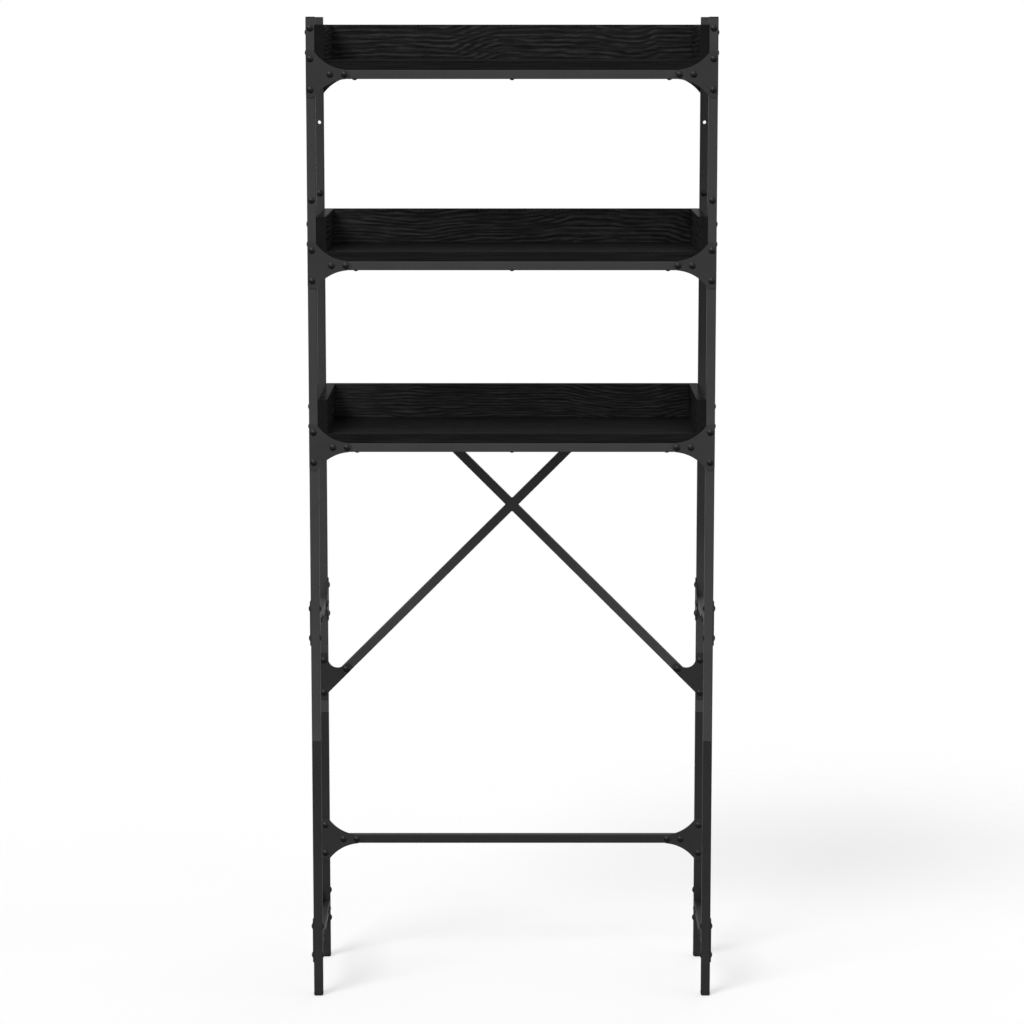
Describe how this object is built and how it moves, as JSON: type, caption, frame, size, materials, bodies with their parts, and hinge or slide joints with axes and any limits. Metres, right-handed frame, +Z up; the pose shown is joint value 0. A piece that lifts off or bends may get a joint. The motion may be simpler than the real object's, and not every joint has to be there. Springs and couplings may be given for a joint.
{
  "type": "over the toilet storage rack",
  "caption": "Tall free-standing steel rack that stands over a toilet, with stacked open board trays above, bolted gusset plates, side rails and a rear cross brace.",
  "frame": {"origin": "on the floor, at the middle of the footprint", "axes": "+Z up, +Y towards the wall behind, X across the rack"},
  "size_m": [0.6784, 0.2584, 1.64],
  "materials": {
    "steel": "black powder coat, satin",
    "steel_dark": "black powder coat, satin, slightly darker",
    "black_oak": "black oak veneer with wavy grain, low sheen",
    "plastic": "moulded black plastic"
  },
  "bodies": {
    "root": {"brace_gusset_left": "steel_dark", "brace_gusset_right": "steel_dark", "crossbar_gusset_left": "steel_dark", "crossbar_gusset_right": "steel_dark", "foot_front_left": "plastic", "foot_front_right": "plastic", "foot_rear_left": "plastic", "foot_rear_right": "plastic", "gusset_bottom_front_left": "steel", "gusset_bottom_front_right": "steel", "gusset_bottom_rear_left": "steel", "gusset_bottom_rear_right": "steel", "gusset_middle_front_left": "steel", "gusset_middle_front_right": "steel", "gusset_middle_rear_left": "steel", "gusset_middle_rear_right": "steel", "gusset_top_front_left": "steel", "gusset_top_front_right": "steel", "gusset_top_rear_left": "steel", "gusset_top_rear_right": "steel", "post_lower_front_left": "steel_dark", "post_lower_front_right": "steel_dark", "post_lower_rear_left": "steel_dark", "post_lower_rear_right": "steel_dark", "post_upper_front_left": "steel", "post_upper_front_right": "steel", "post_upper_rear_left": "steel", "post_upper_rear_right": "steel", "rail_bottom_front": "steel", "rail_bottom_rear": "steel", "rail_middle_front": "steel", "rail_middle_rear": "steel", "rail_top_front": "steel", "rail_top_rear": "steel", "rear_crossbar": "steel_dark", "side_gusset_lower_front_left": "steel_dark", "side_gusset_lower_front_right": "steel_dark", "side_gusset_lower_rear_left": "steel_dark", "side_gusset_lower_rear_right": "steel_dark", "side_gusset_upper_front_left": "steel", "side_gusset_upper_front_right": "steel", "side_gusset_upper_rear_left": "steel", "side_gusset_upper_rear_right": "steel", "side_rail_lower_left": "steel_dark", "side_rail_lower_right": "steel_dark", "side_rail_upper_left": "steel", "side_rail_upper_right": "steel", "tray_back_bottom": "black_oak", "tray_back_middle": "black_oak", "tray_back_top": "black_oak", "tray_floor_bottom": "black_oak", "tray_floor_middle": "black_oak", "tray_floor_top": "black_oak", "tray_side_bottom_left": "black_oak", "tray_side_bottom_right": "black_oak", "tray_side_middle_left": "black_oak", "tray_side_middle_right": "black_oak", "tray_side_top_left": "black_oak", "tray_side_top_right": "black_oak", "x_brace": "steel"}
  },
  "joints": []
}
